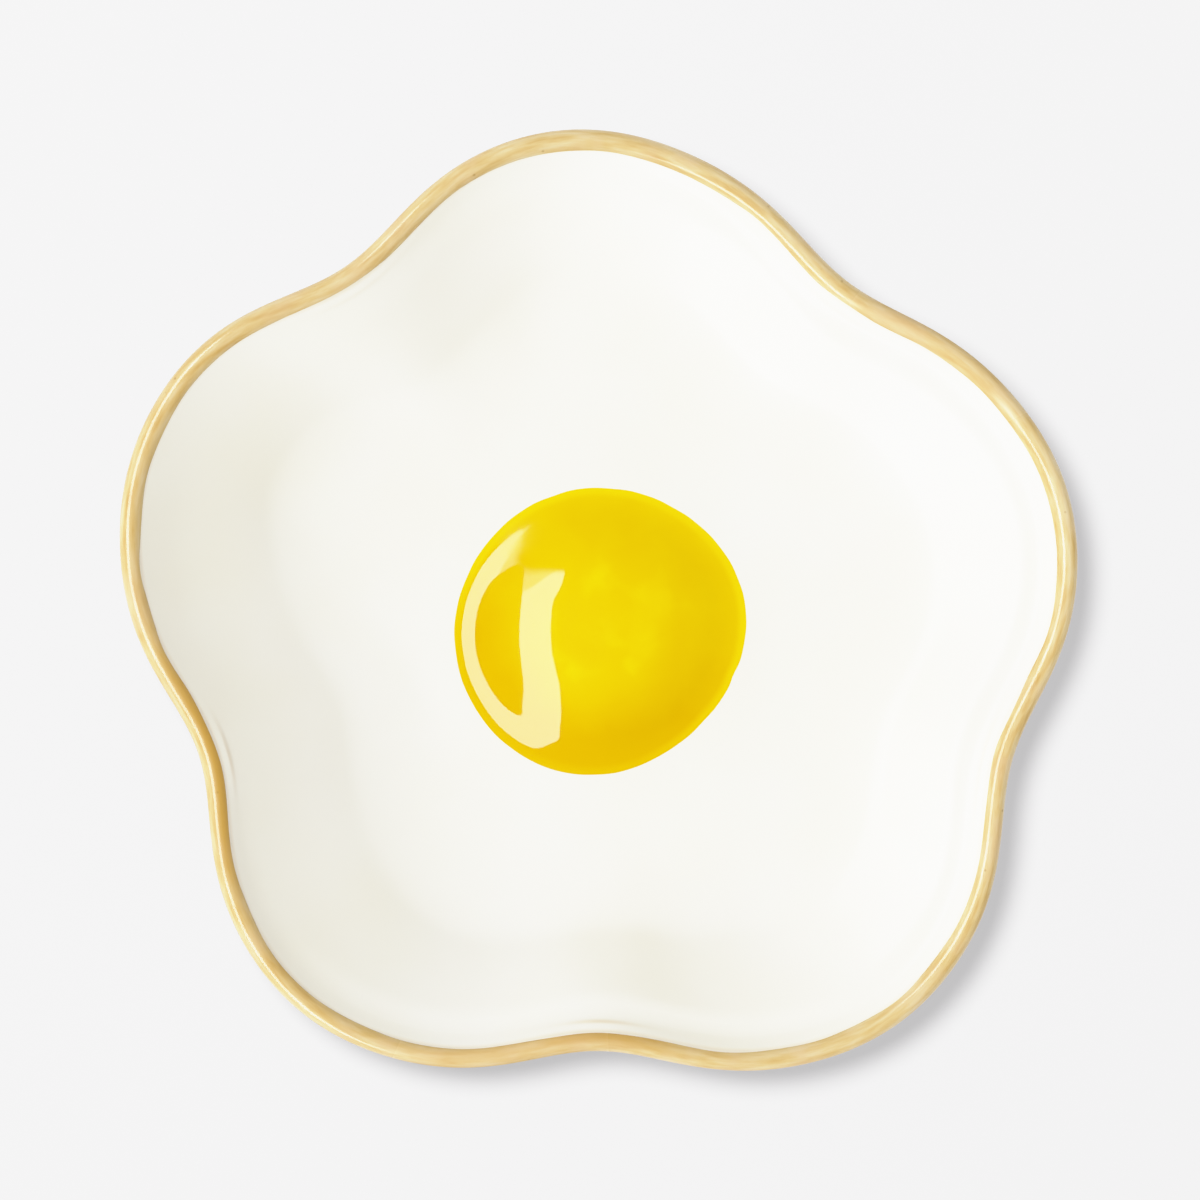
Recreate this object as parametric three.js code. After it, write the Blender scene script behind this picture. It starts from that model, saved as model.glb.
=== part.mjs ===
// A glazed stoneware plate in the shape of a fried egg: a five-lobed dish with a rounded rim, a sloping
// wall, a flat floor, a raised yolk in the middle and a foot ring underneath. It is one piece of clay.
// Millimetres, +Z up. The origin is at the centre of the plate's bounding box, where it stands.

import * as THREE from 'three';
import { mergeVertices } from 'three/addons/utils/BufferGeometryUtils.js';

// Driving dimensions. Radii are those of the round plate that the lobes are then pulled out of, insets
// are measured inwards from its rim, and angles are in degrees.
const RIM_RADIUS = 87.5;
const HEIGHT = 22;
const BEAD_RADIUS = 2.1;
const BEAD_OUTER_END = -42;
const BEAD_INNER_END = 148;
const BEAD_STEPS = 11;
const WALL_THICKNESS = 4.2;
const WALL_UNDER_INSET = 2.5;
const WALL_TOP_INSET = 4.4;
const WALL_TOP_HEIGHT = 20.4;
const FLOOR_HEIGHT = 7;
const FLOOR_RADIUS = 57;
const FILLET_REACH = 6.5;
const UNDER_FILLET_REACH = 2.7;

const YOLK_RADIUS = 27.3;
const YOLK_RISE = 8.5;
const YOLK_RINGS = 10;
const YOLK_OFFSET = new THREE.Vector2(0.1, -1.3);

const FOOT_HEIGHT = 2.5;
const FOOT_OUTER_RADIUS = 51.5;
const FOOT_INNER_RADIUS = 47.3;
const FOOT_EDGE = 0.5;
const FOOT_FLARE = 0.6;
const FOOT_LOBING = 0.5;
const WALL_LOBED_FROM = 61;

// Each wave pushes the outline out and in by its size as many times round as its count, with one crest
// at its angle in degrees, counterclockwise from +X. The first three draw the lobes, broad at their
// tips and narrow between them, and the rest are the unevenness of a plate made by hand.
const LOBE_COUNT = 5;
const LOBE_ANGLE = 17.8;
const OUTLINE_WAVES = [
  { count: LOBE_COUNT, size: 5.82, angle: LOBE_ANGLE },
  { count: 2 * LOBE_COUNT, size: -0.84, angle: LOBE_ANGLE },
  { count: 3 * LOBE_COUNT, size: 0.19, angle: LOBE_ANGLE },
  { count: 2, size: 1.61, angle: -46.5 },
  { count: 3, size: 0.49, angle: -6.2 },
  { count: 4, size: 0.41, angle: -33.8 },
  { count: 7, size: 0.16, angle: -0.6 },
  { count: 8, size: 0.22, angle: 7.1 },
  { count: 9, size: 0.15, angle: -19.7 },
];
const YOLK_WAVES = [
  { count: 2, size: 0.6, angle: 33.8 },
  { count: 3, size: 0.32, angle: 9.7 },
  { count: 4, size: 0.16, angle: 5.3 },
];

const TURNS_ROUND = 110;

const at = (radius, height) => new THREE.Vector2(radius, height);

/** Points on a straight line, without its last one. */
function straight(from, to, steps) {
  return new THREE.LineCurve(from, to).getPoints(steps).slice(0, -1);
}

/** Points on a curve that leaves `from` towards `corner` and comes to `to` from there, less the last. */
function rounded(from, corner, to, steps) {
  return new THREE.QuadraticBezierCurve(from, corner, to).getPoints(steps).slice(0, -1);
}

const wallSlope = (WALL_TOP_HEIGHT - FLOOR_HEIGHT) / (RIM_RADIUS - WALL_TOP_INSET - FLOOR_RADIUS);
const wallLean = Math.atan(wallSlope);

/** Height of the wall's upper face at a radius. */
const wallTopAt = (radius) => FLOOR_HEIGHT + (radius - FLOOR_RADIUS) * wallSlope;

/** Height of the wall's under face at a radius. */
const wallUnderAt = (radius) => wallTopAt(radius) - WALL_THICKNESS / Math.cos(wallLean);

/** Radius at which the wall's under face comes down to a height. */
const wallUnderRadius = (height) => FLOOR_RADIUS + (height - wallUnderAt(FLOOR_RADIUS)) / wallSlope;

/** The flat underside inside the foot ring, from the middle outwards. */
function underside() {
  return straight(at(0, FOOT_HEIGHT), at(FOOT_INNER_RADIUS - FOOT_FLARE, FOOT_HEIGHT), 3);
}

/** The foot ring: its inner side, the flat it stands on and its outer side, with softened edges. */
function footRing() {
  return [
    at(FOOT_INNER_RADIUS - FOOT_FLARE, FOOT_HEIGHT),
    at(FOOT_INNER_RADIUS, FOOT_EDGE),
    at(FOOT_INNER_RADIUS + FOOT_EDGE, 0),
    at(FOOT_OUTER_RADIUS - FOOT_EDGE, 0),
    at(FOOT_OUTER_RADIUS, FOOT_EDGE),
    at(FOOT_OUTER_RADIUS + FOOT_FLARE, FOOT_HEIGHT),
  ];
}

/** The wall's under face, from the curve at its foot up to where the rim starts. */
function outerWall() {
  const corner = at(wallUnderRadius(FOOT_HEIGHT), FOOT_HEIGHT);
  const start = at(corner.x - UNDER_FILLET_REACH, FOOT_HEIGHT);
  const rise = at(corner.x + UNDER_FILLET_REACH, wallUnderAt(corner.x + UNDER_FILLET_REACH));
  const top = at(RIM_RADIUS - WALL_UNDER_INSET, wallUnderAt(RIM_RADIUS - WALL_UNDER_INSET));
  return [...rounded(start, corner, rise, 3), ...straight(rise, top, 3), top];
}

/** The rounded rim, from its outer side over the top to the steeper foot of its inner side. */
function rimBead() {
  const centre = at(RIM_RADIUS - BEAD_RADIUS, HEIGHT - BEAD_RADIUS);
  return Array.from({ length: BEAD_STEPS + 1 }, (_, i) => {
    const degrees = THREE.MathUtils.lerp(BEAD_OUTER_END, BEAD_INNER_END, i / BEAD_STEPS);
    const angle = THREE.MathUtils.degToRad(degrees);
    return at(Math.cos(angle), Math.sin(angle)).multiplyScalar(BEAD_RADIUS).add(centre);
  });
}

/** The wall's upper face and the curve at its foot, from the rim in to the floor. */
function innerWall() {
  const topRadius = RIM_RADIUS - WALL_TOP_INSET;
  const filletTop = at(FLOOR_RADIUS + FILLET_REACH, wallTopAt(FLOOR_RADIUS + FILLET_REACH));
  const filletEnd = at(FLOOR_RADIUS - FILLET_REACH, FLOOR_HEIGHT);
  return [
    ...straight(at(topRadius, WALL_TOP_HEIGHT), filletTop, 3),
    ...rounded(filletTop, at(FLOOR_RADIUS, FLOOR_HEIGHT), filletEnd, 5),
  ];
}

/** The flat floor round the yolk. */
function floor() {
  return straight(at(FLOOR_RADIUS - FILLET_REACH, FLOOR_HEIGHT), at(YOLK_RADIUS, FLOOR_HEIGHT), 4);
}

/** Share of the yolk's rise at a share of its radius: broad on top, steep at its sides, level at its edge. */
const yolkShape = (share) => 1 - 1.6 * share ** 2.4 + 0.6 * share ** 6.4;

/** The yolk, from its edge in to its top. */
function yolk() {
  return Array.from({ length: YOLK_RINGS + 1 }, (_, i) => {
    const share = 1 - i / YOLK_RINGS;
    return at(YOLK_RADIUS * share, FLOOR_HEIGHT + YOLK_RISE * yolkShape(share));
  });
}

/** Sum of some waves at an angle round the plate, in radians. */
function waveSum(waves, angle) {
  return waves.reduce((sum, wave) => {
    const crest = THREE.MathUtils.degToRad(wave.angle);
    return sum + wave.size * Math.cos(wave.count * (angle - crest));
  }, 0);
}

/** How fast the outline's radius changes with the angle, in mm for each radian. */
function outlineSlope(angle) {
  return OUTLINE_WAVES.reduce((sum, wave) => {
    const crest = THREE.MathUtils.degToRad(wave.angle);
    return sum - wave.size * wave.count * Math.sin(wave.count * (angle - crest));
  }, 0);
}

/**
 * How much of the lobes' size a point takes, from 0 to 1. The wall takes all of it. Above, it fades
 * over the floor to nothing at the yolk. Below, the foot ring takes a set share, so it is rounder.
 */
function lobingAt(radius, height) {
  const isUnderneath = height < (FOOT_HEIGHT + FLOOR_HEIGHT) / 2;
  if (!isUnderneath) return THREE.MathUtils.smoothstep(radius, YOLK_RADIUS, FLOOR_RADIUS);
  const towardsWall = THREE.MathUtils.smoothstep(radius, FOOT_OUTER_RADIUS, WALL_LOBED_FROM);
  return THREE.MathUtils.lerp(FOOT_LOBING, 1, towardsWall) * Math.min(radius / FOOT_INNER_RADIUS, 1);
}

/** Where a point of the round plate goes in the lobed one. The rim keeps its width all the way round. */
function lobed(radius, height, angle) {
  const lobing = lobingAt(radius, height);
  const slant = outlineSlope(angle) / (RIM_RADIUS + waveSum(OUTLINE_WAVES, angle));
  const squareInset = Math.min(RIM_RADIUS - radius, WALL_TOP_INSET) * (Math.hypot(1, slant) - 1);
  const outer = lobing * (waveSum(OUTLINE_WAVES, angle) - squareInset);
  const inner = (1 - lobing) * Math.min(radius / YOLK_RADIUS, 1) * waveSum(YOLK_WAVES, angle);
  return new THREE.Vector2(Math.cos(angle), Math.sin(angle))
    .multiplyScalar(radius + outer + inner)
    .addScaledVector(YOLK_OFFSET, 1 - lobing);
}

/** The plate's body: the profile turned round its axis, then pulled out into lobes and centred. */
function plateGeometry() {
  const profile = [
    ...underside(), ...footRing(), ...outerWall(), ...rimBead(), ...innerWall(), ...floor(), ...yolk(),
  ];
  const turned = new THREE.LatheGeometry(profile, TURNS_ROUND);
  turned.deleteAttribute('normal');
  turned.deleteAttribute('uv');
  turned.rotateX(Math.PI / 2);
  const geometry = mergeVertices(turned, 1e-4);
  const position = geometry.attributes.position;
  for (let i = 0; i < position.count; i += 1) {
    const radius = Math.hypot(position.getX(i), position.getY(i));
    const angle = Math.atan2(position.getY(i), position.getX(i));
    const moved = lobed(radius, position.getZ(i), angle);
    position.setXY(i, moved.x, moved.y);
  }
  geometry.computeBoundingBox();
  const middle = geometry.boundingBox.getCenter(new THREE.Vector3());
  geometry.translate(-middle.x, -middle.y, 0);
  geometry.computeVertexNormals();
  return geometry;
}

const whiteGlaze = new THREE.MeshStandardMaterial({ color: '#f6f4ec', roughness: 0.12, metalness: 0 });

const plate = new THREE.Mesh(plateGeometry(), whiteGlaze);
plate.name = 'plate';

const object = new THREE.Group();
object.add(plate);

export default object;
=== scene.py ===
"""A glazed stoneware plate in the shape of a fried egg, dressed for a plain studio render.

The plate is one fired piece. It is drawn here as the white glazed body and three things that sit on
it: the tan glaze brushed round the rim, the thick yellow glaze on the yolk and the bare clay that
the foot ring stands on. All sizes are millimetres until a mesh is written, and +Z points up.
"""

import logging
import math
from collections.abc import Callable
from dataclasses import dataclass, field
from enum import Enum

import bpy
import numpy as np
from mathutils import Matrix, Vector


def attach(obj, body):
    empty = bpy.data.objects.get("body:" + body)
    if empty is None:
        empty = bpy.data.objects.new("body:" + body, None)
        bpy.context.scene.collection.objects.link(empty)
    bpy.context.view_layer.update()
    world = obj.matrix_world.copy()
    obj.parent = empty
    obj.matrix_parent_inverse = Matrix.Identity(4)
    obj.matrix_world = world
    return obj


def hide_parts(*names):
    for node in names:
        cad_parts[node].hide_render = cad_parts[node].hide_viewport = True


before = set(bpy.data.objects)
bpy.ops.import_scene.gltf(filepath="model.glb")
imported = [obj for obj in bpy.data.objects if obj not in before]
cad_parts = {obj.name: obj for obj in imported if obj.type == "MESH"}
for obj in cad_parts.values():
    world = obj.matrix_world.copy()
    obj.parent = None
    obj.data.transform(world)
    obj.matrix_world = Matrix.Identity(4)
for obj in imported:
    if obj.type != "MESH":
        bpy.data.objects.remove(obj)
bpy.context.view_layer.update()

LOG = logging.getLogger("egg_plate")
MM = 0.001
TURN = 2 * math.pi

Array = np.ndarray
Colour = tuple[float, float, float, float]
Pair = tuple[float, float]
Triple = tuple[float, float, float]
# A number's two ends, and what it becomes at each.
Span = tuple[float, float, float, float]


def linear(hex_colour: str) -> Colour:
    """Turns an sRGB hex colour into the linear one that shaders work in.

    Each channel c becomes c / 12.92 below 0.04045, and ((c + 0.055) / 1.055) ** 2.4 above.

    Args:
        hex_colour: Six hex digits after a hash.

    Returns:
        The linear red, green and blue, and an alpha of 1.
    """
    channels = np.array([int(hex_colour[i:i + 2], 16) / 255 for i in (1, 3, 5)])
    curved = ((channels + 0.055) / 1.055) ** 2.4
    red, green, blue = np.where(channels <= 0.04045, channels / 12.92, curved)
    return float(red), float(green), float(blue), 1.0


def smoothstep(value: Array, low: float, high: float) -> Array:
    """Rises from 0 at low to 1 at high as t * t * (3 - 2 * t), and is level outside them."""
    t = np.clip((value - low) / (high - low), 0, 1)
    return t * t * (3 - 2 * t)


# ---------------------------------------------------------------- shape


@dataclass(frozen=True)
class Wave:
    """A ripple round the plate: count crests, each size mm high, one of them at angle degrees."""

    count: int
    size: float
    angle: float


def wave_sum(waves: tuple[Wave, ...], angle: Array) -> Array:
    """Adds up size * cos(count * (angle - crest)) over the waves, with the angle in radians."""
    return sum(w.size * np.cos(w.count * (angle - math.radians(w.angle))) for w in waves)


def wave_slope(waves: tuple[Wave, ...], angle: Array) -> Array:
    """The same sum's rate of change, -size * count * sin(count * (angle - crest)), mm a radian."""
    return sum(-w.size * w.count * np.sin(w.count * (angle - math.radians(w.angle))) for w in waves)


@dataclass(frozen=True)
class Patch:
    """A stretch of the plate round angle degrees, with its size, and its spread in degrees."""

    angle: float
    size: float
    spread: float


def hump(angle: Array, middle: float, spread: float, power: int) -> Array:
    """Falls off round the plate as exp(-(turn / spread)^power), turn degrees from its middle."""
    turn = (np.degrees(angle) - middle + 180) % 360 - 180
    return np.exp(-((turn / spread) ** power))


def patch_sum(patches: tuple[Patch, ...], angle: Array, power: int) -> Array:
    """Adds up size * hump over the patches, round-topped with a power of 2, flat-topped with 4."""
    return sum(p.size * hump(angle, p.angle, p.spread, power) for p in patches)


@dataclass(frozen=True)
class HandWobble:
    """Seeded unevenness, as of something shaped and brushed by hand."""

    seed: int
    plane_waves: int = 16
    shortest: float = 0.7
    longest: float = 1.5

    def round_rim(self, angle: Array, counts: range, size: float) -> Array:
        """A wavy line round the plate.

        It is size / sqrt(number of waves) * the sum of weight * cos(count * angle + phase), and
        the weights are drawn from a bell curve.

        Args:
            angle: Where round the plate, in radians.
            counts: How many times each wave goes round.
            size: The usual height of the line's waves, in mm.

        Returns:
            The line's height at each angle, in mm.
        """
        draw = np.random.default_rng(self.seed)
        total = np.zeros_like(angle)
        for count in counts:
            total += draw.normal() * np.cos(count * angle + draw.uniform(0, TURN))
        return total * size / math.sqrt(len(counts))

    def over_surface(self, x: Array, y: Array, length: float, size: float) -> Array:
        """A gently uneven surface, made of plane waves of about one length.

        It is size / sqrt(number of waves / 2) * the sum of cos(2 pi * distance / wave + phase),
        where each wave's distance is along a heading of its own.

        Args:
            x: Places along X, in mm.
            y: Places along Y, in mm.
            length: The waves' middle length, in mm. They run from shortest to longest times this.
            size: The usual height of the bumps, in mm.

        Returns:
            The height at each place, in mm.
        """
        draw = np.random.default_rng(self.seed)
        total = np.zeros_like(x)
        for _ in range(self.plane_waves):
            heading, phase = draw.uniform(0, TURN, 2)
            wave = length * draw.uniform(self.shortest, self.longest)
            total += np.cos(TURN * (x * math.cos(heading) + y * math.sin(heading)) / wave + phase)
        return total * size / math.sqrt(self.plane_waves / 2)


def line(start: Pair, end: Pair, steps: int) -> Array:
    """Points on the straight line start + t * (end - start), without its last one."""
    t = np.linspace(0, 1, steps, endpoint=False)[:, None]
    return np.array(start) + t * (np.array(end) - np.array(start))


def bend(start: Pair, corner: Pair, end: Pair, steps: int) -> Array:
    """Points on the curve (1-t)^2 start + 2 t (1-t) corner + t^2 end, without its last one."""
    t = np.linspace(0, 1, steps, endpoint=False)[:, None]
    first, middle, last = np.array(start), np.array(corner), np.array(end)
    return (1 - t) ** 2 * first + 2 * t * (1 - t) * middle + t**2 * last


def path(start: Pair, *legs: tuple) -> Array:
    """Points along some legs, each of which starts where the last one ends.

    Args:
        start: Where the first leg starts.
        legs: For each, its end and its steps, or for a bend its corner, its end and its steps.

    Returns:
        The points, without the last leg's end.
    """
    parts = []
    for *corners, steps in legs:
        parts.append((bend if len(corners) == 2 else line)(start, *corners, steps))
        start = corners[-1]
    return np.vstack(parts)


def arc(centre: Pair, radius: float, start: float, end: float, steps: int) -> Array:
    """Points at centre + radius * (cos, sin) of the degrees from start to end, both with."""
    turn = np.radians(np.linspace(start, end, steps + 1))
    return np.array(centre) + radius * np.column_stack([np.cos(turn), np.sin(turn)])


@dataclass(frozen=True)
class EggShape:
    """The plate's lobed form: a round dish's section, pulled out into five uneven lobes."""

    rim_radius: float = 87.5
    height: float = 22.0
    bead_radius: float = 2.1
    bead_outer_end: float = -42.0
    bead_inner_end: float = 141.0
    wall_thickness: float = 4.2
    wall_under_inset: float = 2.5
    wall_top_inset: float = 3.75
    wall_top_height: float = 21.2
    floor_height: float = 7.0
    floor_radius: float = 57.0
    fillet_reach: float = 6.5
    under_fillet_reach: float = 2.7
    yolk_radius: float = 27.3
    yolk_rise: float = 8.5
    yolk_offset: Pair = (0.1, -1.3)
    foot_height: float = 2.5
    foot_outer_radius: float = 51.5
    foot_inner_radius: float = 47.3
    foot_lobing: float = 0.5
    wall_lobed_from: float = 61.0
    dish_lobing: float = 0.62
    lobed_fully_from: float = 79.0
    foot_pulls: tuple[Patch, ...] = (
        Patch(200.0, -7.0, 35.0),
        Patch(118.0, -2.5, 14.0),
        Patch(150.0, 1.5, 14.0),
        Patch(284.0, -1.2, 12.0),
    )
    roll: float = 0.3
    roll_angle: float = -15.0
    roll_inset: float = 1.9
    roll_heights: Pair = (17.5, 20.4)
    coat_reach_down: float = 5.0
    coat_reach_in: float = 3.0
    outline_waves: tuple[Wave, ...] = (
        Wave(5, 5.82, 17.8),
        Wave(10, -0.84, 17.8),
        Wave(15, 0.19, 17.8),
        Wave(2, 1.61, -46.5),
        Wave(3, 0.49, -6.2),
        Wave(4, 0.41, -33.8),
        Wave(7, 0.16, -0.6),
        Wave(8, 0.22, 7.1),
        Wave(9, 0.15, -19.7),
    )
    yolk_waves: tuple[Wave, ...] = (Wave(2, 0.6, 33.8), Wave(3, 0.32, 9.7), Wave(4, 0.16, 5.3))

    @property
    def wall_slope(self) -> float:
        """How much the wall rises for each mm outwards."""
        run = self.rim_radius - self.wall_top_inset - self.floor_radius
        return (self.wall_top_height - self.floor_height) / run

    @property
    def bead_centre(self) -> Pair:
        """The middle of the rounded rim's section, as a radius and a height."""
        return self.rim_radius - self.bead_radius, self.height - self.bead_radius

    def wall_top(self, radius: float) -> float:
        """Height of the wall's upper face: floor height + slope * (radius - floor radius)."""
        return self.floor_height + (radius - self.floor_radius) * self.wall_slope

    def wall_under(self, radius: float) -> float:
        """Height of the wall's under face, its thickness square below the upper face."""
        return self.wall_top(radius) - self.wall_thickness / math.cos(math.atan(self.wall_slope))

    def yolk_height(self, share: Array) -> Array:
        """The yolk's rise at a share u of its radius: rise * (1 - 1.6 u^2.4 + 0.6 u^6.4)."""
        return self.yolk_rise * (1 - 1.6 * share**2.4 + 0.6 * share**6.4)

    def lobing(self, radius: Array, above: bool) -> Array:
        """How much of the lobes' size a point takes, from 0 to 1.

        Above, it is a smooth step from the yolk's edge to a set share at the floor's edge, and
        another up to 1 on the way up the wall, because the thrown dish is rounder than the rim
        that is pulled out of it. Below, the foot ring takes a set share, which rises to 1 at the
        wall and falls to 0 at the middle.

        Args:
            radius: The point's radius in the round dish.
            above: Whether it is on the upper side.

        Returns:
            The share at each radius.
        """
        if above:
            dish = self.dish_lobing * smoothstep(radius, self.yolk_radius, self.floor_radius)
            rim = smoothstep(radius, self.floor_radius, self.lobed_fully_from)
            return dish + (1 - self.dish_lobing) * rim
        to_wall = smoothstep(radius, self.foot_outer_radius, self.wall_lobed_from)
        share = self.foot_lobing + (1 - self.foot_lobing) * to_wall
        return share * np.minimum(radius / self.foot_inner_radius, 1)

    def plan(self, radius: Array, angle: Array, above: bool = True) -> tuple[Array, Array]:
        """Where a point of the round dish goes in the lobed one.

        Its radius grows by lobing * (outline waves - inset * (sqrt(1 + slant^2) - 1)), which keeps
        the rim's width square to its edge, and by (1 - lobing) * the yolk's waves nearer the
        middle. The yolk's own middle is a little off the outline's.

        Args:
            radius: Radius in the round dish, in mm.
            angle: Angle round it, in radians.
            above: Whether the point is on the upper side.

        Returns:
            The point's x and y, measured from the middle of the plate's box.
        """
        lobing = self.lobing(radius, above)
        waves = wave_sum(self.outline_waves, angle)
        slant = wave_slope(self.outline_waves, angle) / (self.rim_radius + waves)
        inset = np.minimum(self.rim_radius - radius, self.wall_top_inset)
        outer = lobing * (waves - inset * (np.sqrt(1 + slant**2) - 1))
        inner = (1 - lobing) * np.minimum(radius / self.yolk_radius, 1)
        reach = radius + outer + inner * wave_sum(self.yolk_waves, angle)
        if above:
            reach = reach + self.foot_pull(radius, angle)
        middle_x, middle_y = self.middle()
        x = reach * np.cos(angle) + self.yolk_offset[0] * (1 - lobing) - middle_x
        y = reach * np.sin(angle) + self.yolk_offset[1] * (1 - lobing) - middle_y
        return x, y

    def foot_pull(self, radius: Array, angle: Array) -> Array:
        """How far the wall's foot is drawn out, or in where it is below 0.

        It is the sum of the pulls, and rises from nothing at the yolk's edge to all of them at the
        floor's edge, and falls back to nothing where the wall takes all of the lobes.

        Args:
            radius: Radius in the round dish, in mm.
            angle: Angle round it, in radians.

        Returns:
            The distance at each point, in mm.
        """
        pulled = patch_sum(self.foot_pulls, angle, 4)
        rise = smoothstep(radius, self.yolk_radius, self.floor_radius)
        return pulled * rise * (1 - smoothstep(radius, self.floor_radius, self.lobed_fully_from))

    def rim_roll(self, inset: Array, height: Array, angle: Array) -> Array:
        """The lift roll / 2 * (1 + cos(angle - roll_angle)) * (roll_inset - inset) near the rim."""
        slope = self.roll / 2 * (1 + np.cos(angle - math.radians(self.roll_angle)))
        return slope * (self.roll_inset - inset) * smoothstep(height, *self.roll_heights)

    def middle(self) -> Pair:
        """Finds the middle of the outline's box, on a fine walk round the rim.

        Returns:
            Its x and y, in mm.
        """
        angle = np.linspace(0, TURN, 2000, endpoint=False)
        reach = self.rim_radius + wave_sum(self.outline_waves, angle)
        x, y = reach * np.cos(angle), reach * np.sin(angle)
        return (x.min() + x.max()) / 2, (y.min() + y.max()) / 2

    def rim_section(self) -> Array:
        """Draws the section over the rim.

        Returns:
            Its points, from low on the outside to a little way down the inside.
        """
        outer = self.rim_radius - self.wall_under_inset
        low = outer - self.coat_reach_down
        inner = self.rim_radius - self.wall_top_inset
        last = inner - self.coat_reach_in
        bead = arc(self.bead_centre, self.bead_radius, self.bead_outer_end, self.bead_inner_end, 40)
        return np.vstack([
            path((low, self.wall_under(low)), ((outer, self.wall_under(outer)), 12),
                 (tuple(bead[0]), 2)),
            bead,
            line((inner, self.wall_top_height), (last, self.wall_top(last)), 8),
        ])


def section_normals(section: Array) -> Array:
    """Finds a section's unit normals, its direction (dr, dz) turned a quarter right to (dz, -dr).

    Args:
        section: Its points, as radii and heights.

    Returns:
        The normal at each point.
    """
    along = np.gradient(section, axis=0)
    along /= np.linalg.norm(along, axis=1, keepdims=True)
    return np.column_stack([along[:, 1], -along[:, 0]])


# ---------------------------------------------------------------- meshes


@dataclass
class Surface:
    """A closed surface on a grid: rings of points, with a pole at each end or joined in a loop."""

    rings: Array
    poles: tuple[Array, Array] | None = None
    marks: dict[str, Array] = field(default_factory=dict)

    def faces(self) -> tuple[Array, Array]:
        """Four-sided faces between the rings, and the three-sided ones round the poles.

        Returns:
            The corner numbers of the four-sided and of the three-sided faces.
        """
        rows, columns = self.rings.shape[:2]
        index = np.arange(rows * columns).reshape(rows, columns)
        beside = np.roll(index, -1, axis=1)
        if self.poles is None:
            nxt, nxt_beside = np.roll(index, -1, axis=0), np.roll(beside, -1, axis=0)
            quads = np.stack([index, beside, nxt_beside, nxt], axis=-1).reshape(-1, 4)
            return quads, np.empty((0, 3), int)
        quads = np.stack([index[:-1], beside[:-1], beside[1:], index[1:]], axis=-1).reshape(-1, 4)
        first, last = np.full(columns, rows * columns), np.full(columns, rows * columns + 1)
        start = np.stack([first, beside[0], index[0]], axis=-1)
        end = np.stack([last, index[-1], beside[-1]], axis=-1)
        return quads, np.vstack([start, end])

    def write(self, name: str) -> bpy.types.Object:
        """Puts the surface into a new object, with its faces pointing outwards.

        The enclosed volume is a sixth of the sum of a . (b x c) over the triangles, and the faces
        are turned round if it comes out negative.

        Args:
            name: The piece's name.

        Returns:
            The new object, smooth shaded, with the marks as point attributes.
        """
        points = self.rings.reshape(-1, 3)
        if self.poles is not None:
            points = np.vstack([points, self.poles])
        quads, triangles = self.faces()
        halves = np.vstack([quads[:, [0, 1, 2]], quads[:, [0, 2, 3]], triangles])
        a, b, c = (points[halves[:, i]] for i in range(3))
        if np.sum(a * np.cross(b, c)) < 0:
            quads, triangles = quads[:, ::-1], triangles[:, ::-1]
        mesh = bpy.data.meshes.new(name)
        mesh.vertices.add(len(points))
        mesh.vertices.foreach_set("co", (points * MM).astype(np.float32).ravel())
        corners = np.concatenate([quads.ravel(), triangles.ravel()]).astype(np.int32)
        starts = np.concatenate(
            [np.arange(len(quads)) * 4, quads.size + np.arange(len(triangles)) * 3]
        ).astype(np.int32)
        mesh.loops.add(len(corners))
        mesh.loops.foreach_set("vertex_index", corners)
        mesh.polygons.add(len(starts))
        mesh.polygons.foreach_set("loop_start", starts)
        mesh.polygons.foreach_set("use_smooth", np.ones(len(starts), bool))
        columns = self.rings.shape[1]
        for mark, values in self.marks.items():
            kind, what = ("FLOAT_VECTOR", "vector") if values.ndim == 3 else ("FLOAT", "value")
            flat = values.reshape(self.rings[..., 0].size, -1)
            if self.poles is not None:
                flat = np.vstack([flat, flat[:columns].mean(axis=0), flat[-columns:].mean(axis=0)])
            layer = mesh.attributes.new(mark, kind, "POINT")
            layer.data.foreach_set(what, flat.astype(np.float32).ravel())
        mesh.update(calc_edges=True)
        mesh.validate()
        piece = bpy.data.objects.new(name, mesh)
        bpy.context.scene.collection.objects.link(piece)
        return piece


def fit_to_body(piece: bpy.types.Object, slot: str, material: bpy.types.Material) -> None:
    """Rides a piece on the plate's one body, gives it its material and logs the finish it shows.

    Args:
        piece: The new piece, in place.
        slot: The record's material slot.
        material: The material that shows it.
    """
    piece.data.materials.append(material)
    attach(piece, "root")
    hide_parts("plate")
    LOG.info("%s: %d faces in %s", piece.name, len(piece.data.polygons), slot)


# ---------------------------------------------------------------- finishes


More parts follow.
